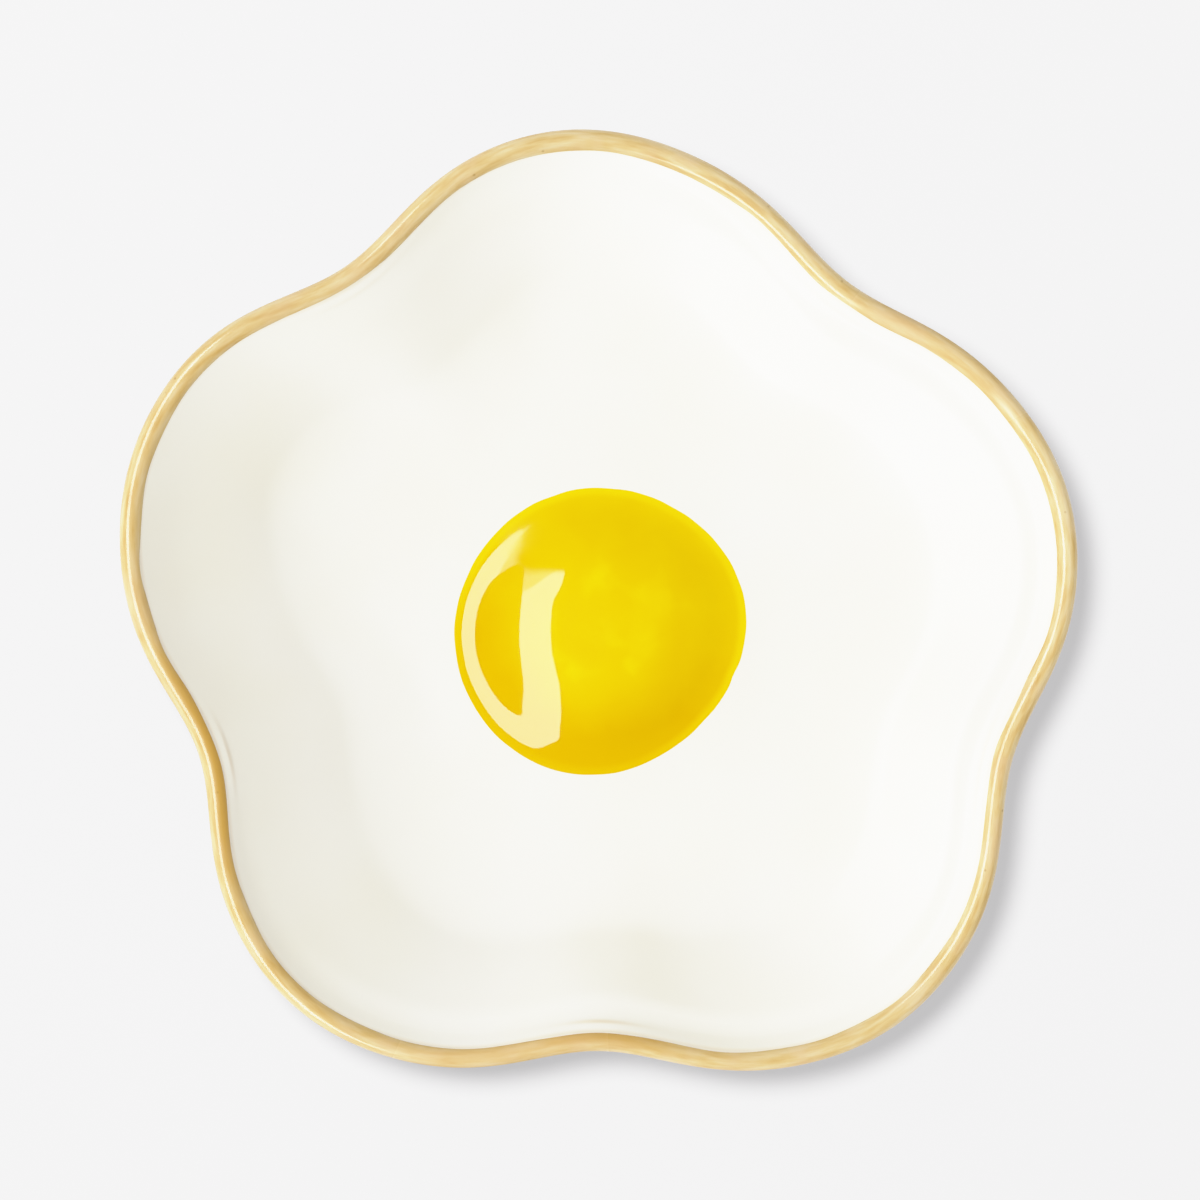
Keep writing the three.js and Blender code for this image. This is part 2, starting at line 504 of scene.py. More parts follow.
def add_node(
    tree: bpy.types.NodeTree, kind: str, inputs: dict | list | tuple = (),
    stops: tuple[tuple[float, ...], tuple[str, ...]] | None = None, **settings: object,
) -> bpy.types.Node:
    """Adds a node, with its settings and what goes into it.

    Args:
        tree: The tree to add it to.
        kind: The node's type, without the leading ShaderNode.
        inputs: What goes into each named input, or into the first ones in order: a value, a node
            whose first output goes there, or a node and the name of another of its outputs.
        stops: A colour ramp's values, from low to high, and the hex colours at them.
        settings: The node's own properties.

    Returns:
        The new node.
    """
    node = tree.nodes.new("ShaderNode" + kind)
    for name, value in settings.items():
        setattr(node, name, value)
    for name, value in inputs.items() if isinstance(inputs, dict) else enumerate(inputs):
        usable = [s for s in node.inputs if s.enabled and s.name == name]
        socket = node.inputs[name] if isinstance(name, int) else usable[0]
        source, *wanted = value if isinstance(value, tuple) else (value,)
        if isinstance(source, bpy.types.Node):
            outputs = [s for s in source.outputs if s.enabled and (not wanted or s.name in wanted)]
            tree.links.new(outputs[0], socket)
        else:
            socket.default_value = value
    if stops:
        elements = node.color_ramp.elements
        for _ in stops[0][2:]:
            elements.new(0.5)
        for element, place, colour in zip(elements, *stops):
            element.position, element.color = place, linear(colour)
    return node


def new_material(name: str) -> tuple[bpy.types.Material, bpy.types.NodeTree]:
    """Makes an empty node material.

    Args:
        name: What the real surface is.

    Returns:
        The material, and its tree with nothing in it.
    """
    material = bpy.data.materials.new(name)
    material.use_nodes = True
    material.node_tree.nodes.clear()
    return material, material.node_tree


def end_ceramic(
    tree: bpy.types.NodeTree, colour: bpy.types.Node, roughness: bpy.types.Node | float,
    height: bpy.types.Node, depth: float, relief: float, ior: float = 1.5,
) -> None:
    """Ends a ceramic surface's tree with its bumps, its shader and its output.

    Args:
        tree: The surface's tree.
        colour: The node that gives its colour.
        roughness: A number, or the node that gives it.
        height: The node that gives its bumps, from 0 to 1.
        depth: How deep the bumps are, in mm.
        relief: How much of that depth shows, from 0 to 1.
        ior: The index of refraction. A glaze's is that of glass.
    """
    bump = add_node(tree, "Bump", {"Height": height, "Distance": depth * MM, "Strength": relief})
    shader = add_node(tree, "BsdfPrincipled", {
        "Base Color": colour, "Roughness": roughness, "Normal": bump, "IOR": ior,
    })
    add_node(tree, "OutputMaterial", {"Surface": shader})


@dataclass(frozen=True)
class WhiteGlaze:
    """Thick warm white stoneware glaze, dipped and fired. Its stain is by mm in from the rim."""

    white: str = "#F8F6EF"
    cream: str = "#F5F2E7"
    broken: str = "#E9D6B8"
    bleed: str = "#EBDCC4"
    cloud_size: float = 38.0
    cloud_steps: Pair = (0.35, 0.68)
    stain: Span = (3.8, 4.4, 0.35, 0.0)
    orange_peel: float = 1.6
    peel_depth: float = 0.004
    roughness: float = 0.14

    def material(self) -> bpy.types.Material:
        """Makes the glaze: clouds of cream, thin on a pressed edge, and stained by the rim's tan.

        Returns:
            The material.
        """
        # Glass over pale clay: a clean, slightly warm white, with a glossy skin that is never quite
        # level, so that what it mirrors has soft edges.
        material, tree = new_material("dipped_white_glaze")
        where = (add_node(tree, "TexCoord"), "Object")
        clouds = add_node(tree, "TexNoise", {
            "Vector": where, "Scale": 1 / (self.cloud_size * MM), "Detail": 2.0, "Roughness": 0.5,
        })
        colour = add_node(tree, "ValToRGB", {"Fac": clouds},
                          stops=(self.cloud_steps, (self.white, self.cream)))
        # Glaze draws back from a sharp edge in the kiln, and the clay's warmth comes through.
        edge = (add_node(tree, "Attribute", attribute_name="shelf_edge"), "Fac")
        # The iron in the rim's glaze stains the white for half a millimetre beside it.
        inset = (add_node(tree, "Attribute", attribute_name="inset"), "Fac")
        stain = add_node(tree, "MapRange", [inset, *self.stain], interpolation_type="SMOOTHSTEP")
        for amount, tint in ((edge, self.broken), (stain, self.bleed)):
            mixed = {"Factor": amount, "A": colour, "B": linear(tint)}
            colour = add_node(tree, "Mix", mixed, data_type="RGBA")
        peel = add_node(tree, "TexNoise", {
            "Vector": where, "Scale": 1 / (self.orange_peel * MM), "Detail": 1.0,
        })
        end_ceramic(tree, colour, self.roughness, peel, self.peel_depth, 1.0)
        return material


@dataclass(frozen=True)
class TanGlaze:
    """Honey tan iron glaze, brushed along the rim. The runs where it gathers thick, and is painted
    darker as shade, are in mm over the rim.
    """

    thin: str = "#E1D1AA"
    usual: str = "#D7BE87"
    thick: str = "#C8A562"
    pink: str = "#DDC3A0"
    pooled_and_shaded: str = "#C79E4E"
    speck: str = "#97732F"
    streak_length: float = 8.0
    streak_width: float = 1.1
    streak_steps: Triple = (0.24, 0.48, 0.74)
    streak_depth: float = 0.015
    streak_relief: float = 0.15
    patch_length: float = 7.0
    pinkness: Span = (0.48, 0.66, 0.0, 0.35)
    pool_and_shade_runs: Pair = (2.0, 3.6)
    speck_spacing: float = 4.5
    speck_fade: Span = (0.02, 0.08, 0.55, 0.0)
    roughness: float = 0.13
    dull_roughness: float = 0.8
    dull_painted_shade: float = 0.35

    def material(self) -> bpy.types.Material:
        """Makes the glaze: streaks drawn out along the brush's path, pinkish patches and specks.

        Returns:
            The material.
        """
        # Brushed glass with iron in it: glossy, paler where the brush left it thin, browner where
        # it lies thick, and freckled.
        material, tree = new_material("brushed_tan_glaze")
        brush = (add_node(tree, "Attribute", attribute_name="brush"), "Vector")
        # A brush's hairs leave lines about 0.3 mm wide, which are too fine to show, so they are
        # drawn coarser, about 1 mm wide.
        along, width = 1 / self.streak_length, 1 / self.streak_width
        stretched = add_node(tree, "Mapping", {"Vector": brush, "Scale": (along, along, width)})
        streaks = add_node(tree, "TexNoise", {
            "Vector": stretched, "Scale": 1.0, "Detail": 3.0, "Roughness": 0.55,
        })
        colour = add_node(tree, "ValToRGB", {"Fac": streaks},
                          stops=(self.streak_steps, (self.thick, self.usual, self.thin)))
        where = (add_node(tree, "TexCoord"), "Object")
        patches = add_node(tree, "TexNoise", {
            "Vector": where, "Scale": 1 / (self.patch_length * MM), "Detail": 2.0,
        })
        pinkness = add_node(tree, "MapRange", [patches, *self.pinkness])
        # The glaze runs down the rim's inner side and gathers thick at its foot, most of all in two
        # of the places where the outline turns inwards. Round the left half this darker colour is
        # also painted shade, as the inner side there faces away from the window.
        across = (add_node(tree, "SeparateXYZ", {"Vector": brush}), "Z")
        pool_and_shade = (add_node(tree, "Attribute", attribute_name="pool_and_shade"), "Fac")
        pooling_and_shade = add_node(tree, "MapRange", [across, *self.pool_and_shade_runs, 0.0, pool_and_shade])
        specks = add_node(tree, "TexVoronoi", {
            "Vector": where, "Scale": 1 / (self.speck_spacing * MM), "Randomness": 1.0,
        })
        spotted = add_node(tree, "MapRange", [specks, *self.speck_fade])
        # Where the glaze has dried dull it is rougher, and its colour is painted darker there as
        # shade, to offset the window's reflection that the rough gloss spreads wide.
        dull_and_shade = (add_node(tree, "Attribute", attribute_name="dull_and_shade"), "Fac")
        painted_dull_shade = add_node(tree, "MapRange", [dull_and_shade, 0.0, 1.0, 0.0, self.dull_painted_shade])
        for amount, tint in (
            (pinkness, self.pink), (pooling_and_shade, self.pooled_and_shaded),
            (spotted, self.speck), (painted_dull_shade, self.thick),
        ):
            mixed = {"Factor": amount, "A": colour, "B": linear(tint)}
            colour = add_node(tree, "Mix", mixed, data_type="RGBA")
        roughness = add_node(tree, "MapRange", [
            dull_and_shade, 0.0, 1.0, self.roughness, self.dull_roughness,
        ])
        end_ceramic(tree, colour, roughness, streaks, self.streak_depth, self.streak_relief)
        return material


@dataclass(frozen=True)
class YolkGlaze:
    """Thick egg yellow glaze, flooded over the yolk.

    Its ring and its thin edge are by the share of the yolk's radius, its sides by the distance
    along a direction towards the lower left, where it is deeper amber, partly as glaze gathered
    thick and partly as painted shade on the side the window lights most, and its dull spot by the
    distance from dull_place.
    """

    pale: str = "#F0D008"
    bright: str = "#E8C605"
    usual: str = "#E3BD04"
    amber: str = "#DCB202"
    edge: str = "#F0CE08"
    depth_steps: tuple[float, ...] = (0.0, 0.12, 0.55, 1.0)
    amber_and_shade_towards: Triple = (-0.38, -0.88, 0.0)
    ring: Span = (0.30, 0.86, 0.0, 1.0)
    amber_and_shade_side: Span = (-0.5, 0.6, 0.12, 1.0)
    cloud_size: float = 8.0
    cloud_depth: Span = (0.3, 0.7, 0.0, 0.22)
    thin_edge: Span = (0.92, 0.975, 0.0, 1.0)
    high_side: Span = (-0.4, 0.7, 1.0, 0.25)
    relief_depth: float = 0.05
    relief: float = 0.15
    dull_place: Triple = (-0.56, 0.64, 0.85)
    dull_distances: Pair = (0.08, 0.24)
    dull_roughness: float = 0.12
    roughness: float = 0.035

    def material(self) -> bpy.types.Material:
        """Makes the glaze: brightest in the middle, amber low on one side, where it is partly
        painted shade, and lemon at its thin edge.

        Returns:
            The material.
        """
        # A deep layer of coloured glass: it mirrors a window sharply, and is darker where it has
        # run together and paler where it thins out. On the lower left the darker amber is also
        # painted shade, which evens out the window's light on the side that faces it.
        material, tree = new_material("flooded_yellow_glaze")
        dome = (add_node(tree, "Attribute", attribute_name="dome"), "Vector")
        share = (add_node(tree, "SeparateXYZ", {"Vector": dome}), "Z")
        smooth = {"interpolation_type": "SMOOTHSTEP"}
        ring = add_node(tree, "MapRange", [share, *self.ring], **smooth)
        # The lower left side is painted deeper amber: partly glaze gathered thick, partly painted
        # shade where the window lights it most.
        side = (add_node(tree, "VectorMath", [dome, self.amber_and_shade_towards], operation="DOT_PRODUCT"),
                "Value")
        amber_and_shade_side = add_node(tree, "MapRange", [side, *self.amber_and_shade_side], **smooth)
        pooled_and_shaded = add_node(tree, "Math", [ring, amber_and_shade_side], operation="MULTIPLY")
        where = (add_node(tree, "TexCoord"), "Object")
        clouds = add_node(tree, "TexNoise", {
            "Vector": where, "Scale": 1 / (self.cloud_size * MM), "Detail": 2.0,
            "Roughness": 0.4, "Distortion": 0.3,
        })
        uneven = add_node(tree, "MapRange", [clouds, *self.cloud_depth])
        depth = add_node(tree, "Math", [pooled_and_shaded, uneven], operation="ADD")
        colour = add_node(tree, "ValToRGB", {"Fac": depth}, stops=(
            self.depth_steps, (self.pale, self.bright, self.usual, self.amber),
        ))
        thin = add_node(tree, "MapRange", [share, *self.thin_edge], **smooth)
        high_side = add_node(tree, "MapRange", [side, *self.high_side])
        lemon = add_node(tree, "Math", [thin, high_side], operation="MULTIPLY")
        mixed = {"Factor": lemon, "A": colour, "B": linear(self.edge)}
        colour = add_node(tree, "Mix", mixed, data_type="RGBA")
        # High on one side, near its edge, the glaze has dried thin and lost some of its gloss.
        off = add_node(tree, "VectorMath", [dome, self.dull_place], operation="DISTANCE")
        roughness = add_node(tree, "MapRange", [
            (off, "Value"), *self.dull_distances, self.dull_roughness, self.roughness,
        ], **smooth)
        end_ceramic(tree, colour, roughness, clouds, self.relief_depth, self.relief)
        return material


@dataclass(frozen=True)
class BareClay:
    """Unglazed buff stoneware, wiped clean before firing."""

    clay: str = "#D2C2AB"
    grog: str = "#AE977A"
    grain: float = 0.6
    grain_steps: Pair = (0.35, 0.55)
    grain_depth: float = 0.1
    grain_relief: float = 0.6
    roughness: float = 0.85
    ior: float = 1.45

    def material(self) -> bpy.types.Material:
        """Makes the clay, with the ground fired clay, or grog, that is mixed into it.

        Returns:
            The material.
        """
        # Dry fired clay: matt and sandy to the eye, with darker grains and no shine at any angle.
        # Real grains are a few tenths of a millimetre, too fine to show, so they are drawn coarser.
        material, tree = new_material("wiped_bare_stoneware")
        where = (add_node(tree, "TexCoord"), "Object")
        grains = add_node(tree, "TexNoise", {
            "Vector": where, "Scale": 1 / (self.grain * MM), "Detail": 3.0, "Roughness": 0.7,
        })
        colour = add_node(tree, "ValToRGB", {"Fac": grains},
                          stops=(self.grain_steps, (self.grog, self.clay)))
        end_ceramic(tree, colour, self.roughness, grains, self.grain_depth, self.grain_relief,
                    self.ior)
        return material


# ---------------------------------------------------------------- pieces


@dataclass
class PlateBody:
    """The white glazed body: underside, foot ring, wall, rim core, floor and the yolk's mound.

    The mound stands mound_recess mm lower than the yolk, which leaves room for its thick glaze. The
    pinches are small shelves pressed in under the rim where the outline turns inwards, as high as
    their sizes, and the glaze is thin on their sharp edges. A flare gives the foot ring's root,
    the corner of its fillet and its side, as distances from the ring.
    """

    shape: EggShape
    columns: int = 560
    pole_gap: float = 4.0
    foot_recess: float = 0.1
    foot_edge: float = 0.9
    foot_edge_lean: float = 0.1
    foot_inner_flare: Triple = (2.2, 0.7, 0.4)
    foot_inner_fillet: float = 1.3
    foot_outer_flare: Triple = (1.6, 0.6, 0.4)
    foot_outer_fillet: float = 1.0
    floor_curve: float = 25.0
    mound_recess: float = 0.45
    mound_rings: int = 24
    shelf_edge: float = 5.2
    shelf_lip: float = 0.2
    shelf_fall: float = 0.8
    below_shelf: float = 0.5
    bared_inset: float = 0.25
    bared_width: float = 0.32
    bared_height: float = 0.24
    bared_most: float = 0.55
    pinches: tuple[Patch, ...] = (
        Patch(53.0, 0.08, 9.0),
        Patch(126.0, 0.08, 8.0),
        Patch(199.5, 0.20, 5.0),
        Patch(270.5, 0.24, 5.5),
        Patch(340.5, 0.16, 9.0),
    )
    uneven: HandWobble = HandWobble(3)
    uneven_length: float = 48.0
    uneven_height: float = 0.10
    even_round_yolk: float = 8.0
    even_under_rim: Pair = (14.0, 5.0)

    def shelf(self, inset: Array, angle: Array) -> tuple[Array, Array]:
        """The pressed shelves' height, and how bare the clay is on their sharp edges.

        The height is the sum of size * exp(-(turn / spread)^2), times a rise over shelf_fall mm
        up to the shelf's edge and a straight fall from there back to the rim's foot. The bareness
        is bared_most * (sum / bared_height)^1.5 * exp(-((inset - middle) / bared_width)^2).

        Args:
            inset: How far in from the rim each point lies, in mm.
            angle: Its angle round the plate, in radians.

        Returns:
            The height in mm, and the bareness from 0 to 1.
        """
        strength = patch_sum(self.pinches, angle, 2)
        foot, edge = self.shape.wall_top_inset, self.shelf_edge
        rise = 1 - smoothstep(inset, edge - self.shelf_lip, edge + self.shelf_fall)
        fall = np.clip((inset - foot) / (edge - foot), 0, 1)
        near = np.exp(-(((inset - edge - self.bared_inset) / self.bared_width) ** 2))
        bared = self.bared_most * np.clip(strength / self.bared_height, 0, 1) ** 1.5
        return strength * rise * fall, bared * near

    def section(self) -> Array:
        """Draws the body's section, with the mound lower than the yolk by recess * (1 - u^8).

        Returns:
            Its points, from the middle of the underside, out over the rim, to the middle of the
            top.
        """
        s = self.shape
        foot, low, edge, lean = s.foot_height, self.foot_recess, self.foot_edge, self.foot_edge_lean
        inside, outside = s.foot_inner_radius, s.foot_outer_radius
        root, bow, side = (inside - flare for flare in self.foot_inner_flare)
        outer_root, outer_bow, outer_side = (outside + flare for flare in self.foot_outer_flare)
        corner = s.floor_radius + (foot - s.wall_under(s.floor_radius)) / s.wall_slope
        rise = corner + s.under_fillet_reach
        outer = s.rim_radius - s.wall_under_inset
        shelf_end = s.rim_radius - self.shelf_edge - self.shelf_fall - self.below_shelf
        fillet_top = s.floor_radius + s.fillet_reach
        floor = s.floor_height
        share = np.linspace(1, 0, self.mound_rings, endpoint=False)
        mound = floor + s.yolk_height(share) - self.mound_recess * (1 - share**8)
        return np.vstack([
            path(
                (self.pole_gap, foot),
                ((root, foot), 6),
                ((bow, foot), (side, foot - self.foot_inner_fillet), 4),
                ((inside, edge), 2),
                ((inside + lean, low), (inside + edge, low), 4),
                ((outside - edge, low), 3),
                ((outside - lean, low), (outside, edge), 4),
                ((outer_side, foot - self.foot_outer_fillet), 2),
                ((outer_bow, foot), (outer_root, foot), 4),
                ((corner - s.under_fillet_reach, foot), 2),
                ((corner, foot), (rise, s.wall_under(rise)), 6),
                ((outer, s.wall_under(outer)), 12),
            ),
            arc(s.bead_centre, s.bead_radius, s.bead_outer_end, s.bead_inner_end, 20),
            path(
                (s.rim_radius - s.wall_top_inset, s.wall_top_height),
                ((shelf_end, s.wall_top(shelf_end)), 14),
                ((fillet_top, s.wall_top(fillet_top)), 14),
                ((s.floor_radius, floor), (s.floor_radius - self.floor_curve, floor), 14),
                ((s.yolk_radius, floor), 12),
            ),
            np.column_stack([s.yolk_radius * share, mound]),
        ])

    def build(self) -> bpy.types.Object:
        """Turns the section round, pulls out the lobes and adds the hand's unevenness.

        Returns:
            The body, closed at both poles.
        """
        s = self.shape
        section = self.section()
        top_row = int(np.argmax(section[:, 1]))
        angle = np.linspace(0, TURN, self.columns, endpoint=False)[None, :]
        radius, height = section[:, :1], section[:, 1:]
        above = np.arange(len(section))[:, None] >= top_row
        x, y = (np.where(above, upper, lower) for upper, lower in zip(
            s.plan(radius, angle, True), s.plan(radius, angle, False)
        ))
        uneven = self.uneven.over_surface(x, y, self.uneven_length, self.uneven_height)
        wall_from, wall_to = (s.rim_radius - inset for inset in self.even_under_rim)
        fade = smoothstep(radius, s.yolk_radius, s.yolk_radius + self.even_round_yolk)
        fade = fade * (1 - smoothstep(radius, wall_from, wall_to)) * above
        inset = s.rim_radius - radius
        shelf, bared = self.shelf(inset, angle)
        z = height + fade * uneven + shelf * above + s.rim_roll(inset, height, angle)
        rings = np.stack([x, y, np.broadcast_to(z, x.shape)], axis=-1)
        middle = np.array(0.0)
        top = s.floor_height + s.yolk_rise - self.mound_recess
        poles = (
            np.array([*s.plan(middle, middle, False), s.foot_height]),
            np.array([*s.plan(middle, middle, True), top]),
        )
        return Surface(rings, poles, {
            "inset": inset + 0 * x,
            "shelf_edge": bared * above,
        }).write("plate_body")


@dataclass
class RimCoat:
    """The tan glaze brushed over the rim, a thin skin with soft uneven edges.

    It stands up to its thickness proud, and its edges are tucked a little way into the body.
    """

    shape: EggShape
    columns: int = 720
    across: int = 26
    thickness: float = 0.16
    tucked: float = 0.03
    sunk: float = 0.3
    inner_inset: float = 3.75
    inner_wobble: HandWobble = HandWobble(11)
    inner_counts: range = range(6, 40)
    inner_size: float = 0.12
    outer_drop: float = 4.2
    outer_wobble: HandWobble = HandWobble(12)
    outer_counts: range = range(5, 30)
    outer_size: float = 0.35
    broad_side: Wave = Wave(1, 0.14, 100.0)
    broad_lobes: Wave = Wave(5, 0.14, 17.8)
    # Where the glaze is dull its colour is also painted darker, as shade.
    dull_and_shade_patches: tuple[Patch, ...] = (Patch(39.0, 1.0, 11.5), Patch(258.0, 1.0, 12.0))
    # The darker runs are partly glaze gathered thick and partly painted shade on the inner side
    # round the left, which faces away from the window.
    pools_and_shade: tuple[Patch, ...] = (
        Patch(205.0, 0.3, 85.0), Patch(200.0, 0.7, 17.0), Patch(271.0, 0.6, 9.0),
    )

    def build(self) -> bpy.types.Object:
        """Lays the skin over the rim's section, between an uneven inner and outer edge.

        At a share t of the way across, the skin stands thickness * (1 - (2t - 1)^8) - tucked proud
        of the body, and its under face lies sunk in the body.

        Returns:
            The coat, closed in a loop all the way round, marked with the brush's path, with where
            the glaze is rough and painted darker as shade, and with where it gathers thick at the
            rim's foot or is painted darker as shade on the side turned from the window.
        """
        s = self.shape
        section = s.rim_section()
        normals = section_normals(section)
        run = np.concatenate([[0], np.cumsum(np.linalg.norm(np.diff(section, axis=0), axis=1))])
        start = int(np.argmax(section[:, 0]))
        inset = s.rim_radius - section[start:, 0]
        order = np.argsort(inset)
        angle = np.linspace(0, TURN, self.columns, endpoint=False)
        edge = self.inner_inset + wave_sum((self.broad_side, self.broad_lobes), angle)
        edge = edge + self.inner_wobble.round_rim(angle, self.inner_counts, self.inner_size)
        inner = np.interp(edge, inset[order], run[start:][order])
        outer_wobble = self.outer_wobble.round_rim(angle, self.outer_counts, self.outer_size)
        outer = run[start] - self.outer_drop + outer_wobble
        share = np.linspace(0, 1, self.across)[:, None]
        place = outer + (inner - outer) * share
        proud = self.thickness * (1 - (2 * share - 1) ** 8) - self.tucked + 0 * place
        upper = self._laid(section, normals, run, place, proud, angle)
        under = np.full_like(place, -self.sunk)
        lower = self._laid(section, normals, run, place[::-1], under, angle)
        rings = np.concatenate([upper, lower])
        brush = np.stack([
            s.rim_radius * np.cos(angle) + 0 * place,
            s.rim_radius * np.sin(angle) + 0 * place,
            place - run[start],
        ], axis=-1)
        everywhere = np.zeros(rings.shape[:2])
        return Surface(rings, None, {
            "brush": np.concatenate([brush, brush[::-1]]),
            "dull_and_shade": patch_sum(self.dull_and_shade_patches, angle, 4) + everywhere,
            "pool_and_shade": patch_sum(self.pools_and_shade, angle, 4) + everywhere,
        }).write("rim_glaze")

    def _laid(
        self, section: Array, normals: Array, run: Array, place: Array, proud: Array, angle: Array
    ) -> Array:
        """Points over the section at a distance along it and a height square to it.

        Args:
            section: The rim's section.
            normals: Its unit normals.
            run: The distance along it of each of its points.
            place: The distance along it of each new point.
            proud: Each new point's height over it.
            angle: Each column's angle round the plate.

        Returns:
            The points in space, in mm.
        """
        radius, height, out, up = (
            np.interp(place, run, values)
            for values in (section[:, 0], section[:, 1], normals[:, 0], normals[:, 1])
        )
        x, y = self.shape.plan(radius + proud * out, angle + 0 * place)
        roll = self.shape.rim_roll(self.shape.rim_radius - radius, height, angle + 0 * place)
        return np.stack([x, y, height + proud * up + roll], axis=-1)


@dataclass(frozen=True)
class Swell:
    """Where the yolk's glaze has run thicker, or thinner, towards one side."""

    angle: float
    spread: float
    height: float
    rise_from: float
    rise_to: float
    edge: float
    edge_width: float

    def raised(self, share: Array, angle: Array) -> Array:
        """Its height: height * exp(-(turn / spread)^2), times a smooth step up and a fall.

        Args:
            share: Shares of the yolk's radius.
            angle: Angles round it, in radians.

        Returns:
            The height in mm. The step runs between the two shares, and the fall towards the
            yolk's edge is (1 - tanh((share - edge) / width)) / 2.
        """
        fall = (1 - np.tanh((share - self.edge) / self.edge_width)) / 2
        rise = smoothstep(share, self.rise_from, self.rise_to)
        return self.height * hump(angle, self.angle, self.spread, 2) * rise * fall


@dataclass
class YolkCap:
    """The yolk's thick yellow glaze, a skin over the mound with a rounded uneven edge.

    Its brow is a raised middle, its dent a nick in its edge, and its dimple the place near its top
    where a bubble burst.
    """

    shape: EggShape
    columns: int = 480
    rings: int = 70
    ring_crowding: float = 1.6
    thickness: float = 0.12
    tucked: float = 0.02
    sunk: float = 0.8
    overlap: float = 0.1
    lean: Wave = Wave(1, 0.1, -90.0)
    brow: float = 0.13
    brow_place: float = 0.79
    brow_width: float = 0.05
    swells: tuple[Swell, ...] = (
        Swell(242.0, 22.0, 0.30, 0.45, 0.86, 0.925, 0.055),
        Swell(138.0, 20.0, -0.22, 0.0, 0.7, 0.80, 0.05),
    )
    ragged: HandWobble = HandWobble(21)
    ragged_counts: range = range(6, 30)
    ragged_size: float = 0.05
    dent: Patch = Patch(-18.5, 0.32, 4.0)
    dimple_place: Pair = (0.5, 0.6)
    dimple_depth: float = 0.05
    dimple_radius: float = 1.5

    def proud(self, share: Array, angle: Array) -> Array:
        """How far the skin stands proud of the yolk's own form.

        At a share u of its radius that is thickness * (1 - u^60) - tucked, and half the brow times
        (1 - tanh((u - place) / width)) more, which steepens its shoulder. It is less by a dimple of
        depth * exp(-(distance / radius)^2) near its top, and the swells come on top.

        Args:
            share: Shares of the yolk's radius.
            angle: Angles round it, in radians.

        Returns:
            The distance upwards, in mm.
        """
        radius = self.shape.yolk_radius * share
        off_x = radius * np.cos(angle) - self.dimple_place[0]
        off_y = radius * np.sin(angle) - self.dimple_place[1]
        dimple = np.exp(-(off_x**2 + off_y**2) / self.dimple_radius**2)
        brow = self.brow / 2 * (1 - np.tanh((share - self.brow_place) / self.brow_width))
        swollen = sum(swell.raised(share, angle) for swell in self.swells)
        skin = self.thickness * (1 - share**60) - self.tucked
        return skin + brow - self.dimple_depth * dimple + swollen

    def build(self) -> bpy.types.Object:
        """Lays the skin over the yolk's mound, with its under face sunk in the body.

        Its radius is the mound's and an overlap, and is uneven by u^6 at a share u of it.

        Returns:
            The cap, closed at both poles.
        """
        s = self.shape
        angle = np.linspace(0, TURN, self.columns, endpoint=False)[None, :]
        share = (1 - np.linspace(1, 0, self.rings + 1)[1:] ** self.ring_crowding)[:, None]
        ragged = self.ragged.round_rim(angle, self.ragged_counts, self.ragged_size)
        ragged = ragged - patch_sum((self.dent,), angle, 2)
        grown = self.overlap + wave_sum((self.lean,), angle)
        height = s.floor_height + s.yolk_height(share)
        further = grown * share + ragged * share**6
        x, y = s.plan(s.yolk_radius * share, angle)
        x, y = x + further * np.cos(angle), y + further * np.sin(angle)
        upper = np.stack([x, y, height + self.proud(share, angle) + 0 * x], axis=-1)
        lower = np.stack([x, y, height - self.sunk + 0 * x], axis=-1)[::-1]
        middle = s.plan(np.array(0.0), np.array(0.0))
        top = s.floor_height + s.yolk_rise
        poles = (
            np.array([*middle, top + self.thickness - self.tucked + self.brow]),
            np.array([*middle, top - self.sunk]),
        )
        dome = np.stack([share * np.cos(angle), share * np.sin(angle), share + 0 * x], axis=-1)
        return Surface(np.concatenate([upper, lower]), poles, {
            "dome": np.concatenate([dome, dome[::-1]]),
        }).write("yolk_glaze")


@dataclass
class FootClay:
    """The bare clay that the plate stands on, wiped free of glaze round the foot ring."""

    shape: EggShape
    columns: int = 360
    around: int = 24
    height: float = 0.8
    wider: float = 0.06
    roundness: float = 0.5
    wobble: HandWobble = HandWobble(31)
    wobble_counts: range = range(4, 24)
    wobble_size: float = 0.10

    def build(self) -> bpy.types.Object:
        """A ring over the foot, of an oval section with flattened sides and an uneven upper edge.

        The section goes sign(cos) * |cos|^roundness across and the same of the sine upwards.

        Returns:
            The ring, closed in a loop all the way round.
        """
        s = self.shape
        angle = np.linspace(0, TURN, self.columns, endpoint=False)[None, :]
        turn = np.linspace(0, TURN, self.around, endpoint=False)[:, None]
        middle = (s.foot_inner_radius + s.foot_outer_radius) / 2
        half = (s.foot_outer_radius - s.foot_inner_radius) / 2 + self.wider
        across, up = (
            np.sign(wave) * np.abs(wave) ** self.roundness for wave in (np.cos(turn), np.sin(turn))
        )
        uneven = self.wobble.round_rim(angle, self.wobble_counts, self.wobble_size)
        x, y = s.plan(middle + half * across + 0 * angle, angle + 0 * turn, False)
        top = self.height + uneven * (up > 0)
        z = top / 2 + (top / 2) * up
        return Surface(np.stack([x, y, z + 0 * x], axis=-1)).write("foot_clay")


# ---------------------------------------------------------------- studio


class LightUse(Enum):
    """What a lamp is for: to light softly, to be mirrored in gloss or to cast a shadow."""

    FILL = "fill"
    MIRRORED = "mirrored"
    SHADOW = "shadow"


